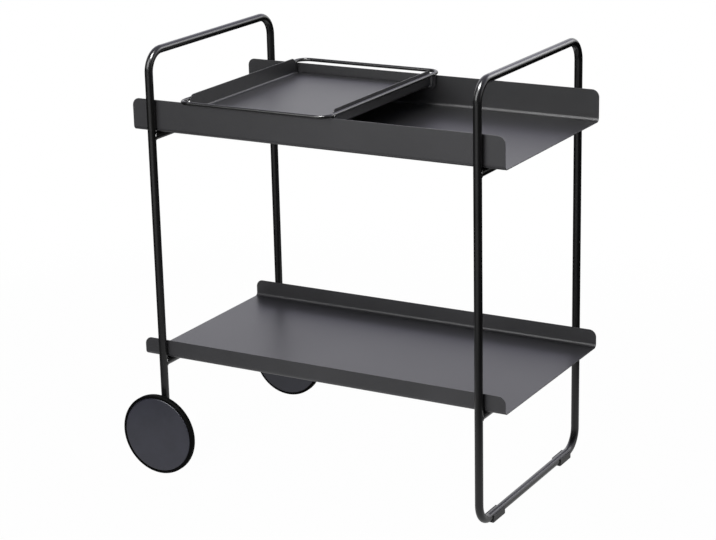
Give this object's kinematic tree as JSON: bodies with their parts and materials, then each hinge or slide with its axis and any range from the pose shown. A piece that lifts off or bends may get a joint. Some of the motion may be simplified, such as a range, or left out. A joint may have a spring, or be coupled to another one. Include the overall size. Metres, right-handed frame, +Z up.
{
  "type": "bar cart",
  "caption": "Bar cart of bent steel tube with open-ended folded sheet shelves, a lift-off tray hung on the upper shelf, wheels at one end and clip feet at the other.",
  "frame": {"origin": "on the floor, under the middle of the cart's overall length and depth", "axes": "+X along the shelves from the wheel end to the foot end, +Y from the front of the picture to the back, +Z up"},
  "size_m": [0.7294, 0.452, 0.756],
  "materials": {
    "frame_coat": "satin black powder coat on round steel tube and rod",
    "sheet_coat": "satin slate-black powder coat on folded steel sheet and the tray's cradle rods",
    "zinc": "bright zinc-plated steel",
    "black_zinc": "black zinc-plated steel",
    "black_plastic": "matt black moulded plastic",
    "wheel_disc": "satin slate-black moulded plastic",
    "tyre": "matt black rubber",
    "bush": "natural white nylon"
  },
  "bodies": {
    "frame": {"wheel_frame_tube": "frame_coat", "foot_frame_tube": "frame_coat", "wheel_frame_upper_crossbar": "frame_coat", "wheel_frame_lower_crossbar": "frame_coat", "foot_frame_upper_crossbar": "frame_coat", "foot_frame_lower_crossbar": "frame_coat", "upper_shelf": "sheet_coat", "lower_shelf": "sheet_coat", "upper_shelf_studs": "zinc", "lower_shelf_studs": "zinc", "upper_shelf_saddle_washers": "black_zinc", "lower_shelf_saddle_washers": "black_zinc", "upper_shelf_cap_nuts": "black_zinc", "lower_shelf_cap_nuts": "black_zinc", "front_leg_plug": "black_plastic", "rear_leg_plug": "black_plastic", "front_axle_bolt": "zinc", "rear_axle_bolt": "zinc", "front_axle_spacer": "black_plastic", "rear_axle_spacer": "black_plastic", "front_axle_saddle_washer": "black_zinc", "rear_axle_saddle_washer": "black_zinc", "front_axle_cap_nut": "black_zinc", "rear_axle_cap_nut": "black_zinc", "front_clip_foot": "black_plastic", "rear_clip_foot": "black_plastic"},
    "front_wheel": {"front_wheel_bush": "bush", "front_wheel_core": "wheel_disc", "front_wheel_tyre": "tyre", "front_wheel_cover": "wheel_disc"},
    "rear_wheel": {"rear_wheel_bush": "bush", "rear_wheel_core": "wheel_disc", "rear_wheel_tyre": "tyre", "rear_wheel_cover": "wheel_disc"},
    "tray": {"tray_sheet": "sheet_coat", "tray_rail": "frame_coat", "tray_front_cradle": "sheet_coat", "tray_rear_cradle": "sheet_coat"}
  },
  "joints": [
    {"name": "front_wheel_spin", "type": "hinge", "parent": "frame", "child": "front_wheel", "pos_m": [-0.29225, -0.22, 0.0725], "axis": [0, 1, 0], "continuous": true},
    {"name": "rear_wheel_spin", "type": "hinge", "parent": "frame", "child": "rear_wheel", "pos_m": [-0.29225, 0.22, 0.0725], "axis": [0, 1, 0], "continuous": true},
    {"name": "tray_lift", "type": "slide", "parent": "frame", "child": "tray", "axis": [0, 0, 1], "range_m": [0, 0.13]}
  ]
}
